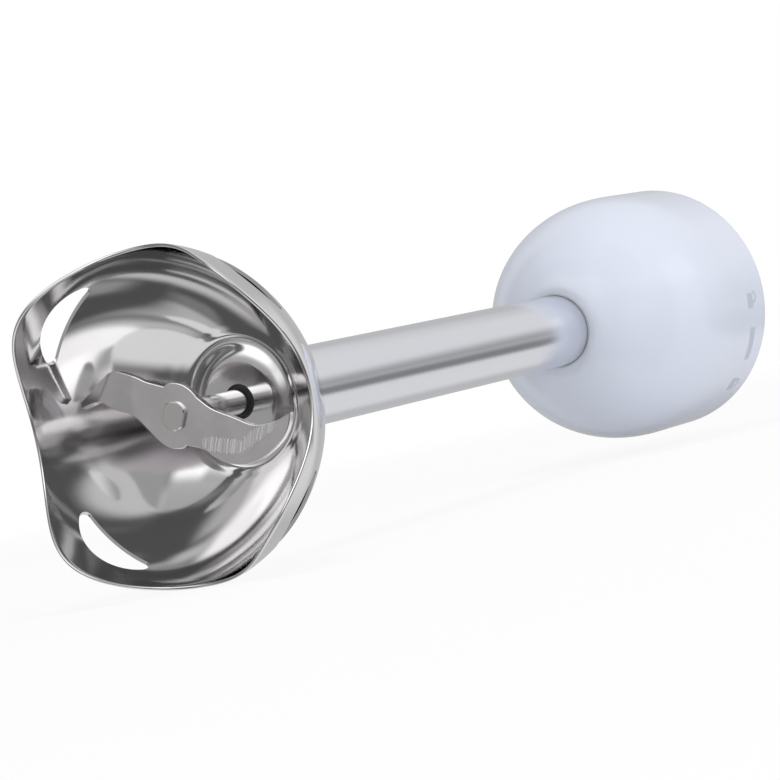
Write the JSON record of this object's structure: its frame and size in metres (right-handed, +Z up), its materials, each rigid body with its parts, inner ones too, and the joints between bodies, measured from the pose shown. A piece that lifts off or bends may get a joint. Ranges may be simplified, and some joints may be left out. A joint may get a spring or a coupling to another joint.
{
  "type": "immersion blender leg",
  "caption": "Detachable blending leg of an immersion blender: steel bell guard with wavy rim and slots, spinning blade on a shaft, straight tube and a white bulb that locks to a motor handle.",
  "frame": {"origin": "on the floor under the middle of the leg's length, below its axis", "axes": "+X along the leg from the bell's mouth to the bulb's open end, +Z up, the leg lying on its side"},
  "size_m": [0.2362, 0.0716, 0.0716],
  "materials": {
    "polished_steel": "mirror-polished drawn stainless sheet",
    "satin_steel": "satin stainless tube",
    "blade_steel": "tumbled satin stainless",
    "shaft_steel": "ground stainless",
    "white_shell": "glossy moulded",
    "socket_plastic": "fine moulded",
    "bearing_plastic": "natural moulded",
    "coupling_plastic": "glass-filled moulded",
    "black_rubber": "moulded",
    "grey_rubber": "moulded",
    "bronze": "sintered",
    "spring_steel": "stamped spring steel",
    "screw_steel": "zinc-plated"
  },
  "bodies": {
    "housing": {"bell_guard": "polished_steel", "shaft_tube": "satin_steel", "coupling_shell": "white_shell", "socket_insert": "socket_plastic", "socket_gasket": "black_rubber", "tube_seal_ring": "grey_rubber", "tube_clip": "spring_steel", "shaft_seal": "black_rubber", "seal_retainer": "spring_steel", "lower_bearing_holder": "bearing_plastic", "lower_bush": "bronze", "shaft_guide": "bearing_plastic", "upper_bearing_holder": "bearing_plastic", "upper_bush": "bronze", "socket_screw_1": "screw_steel", "socket_screw_2": "screw_steel", "socket_screw_3": "screw_steel"},
    "rotor": {"drive_shaft": "shaft_steel", "blade": "blade_steel", "lower_thrust_washer": "bearing_plastic", "lower_circlip": "spring_steel", "upper_thrust_washer": "bearing_plastic", "upper_circlip": "spring_steel", "drive_coupling": "coupling_plastic", "coupling_pin": "shaft_steel"}
  },
  "joints": [
    {"name": "blade_spin", "type": "hinge", "parent": "housing", "child": "rotor", "pos_m": [0, 0, 0.03579], "axis": [1, 0, 0], "continuous": true}
  ]
}
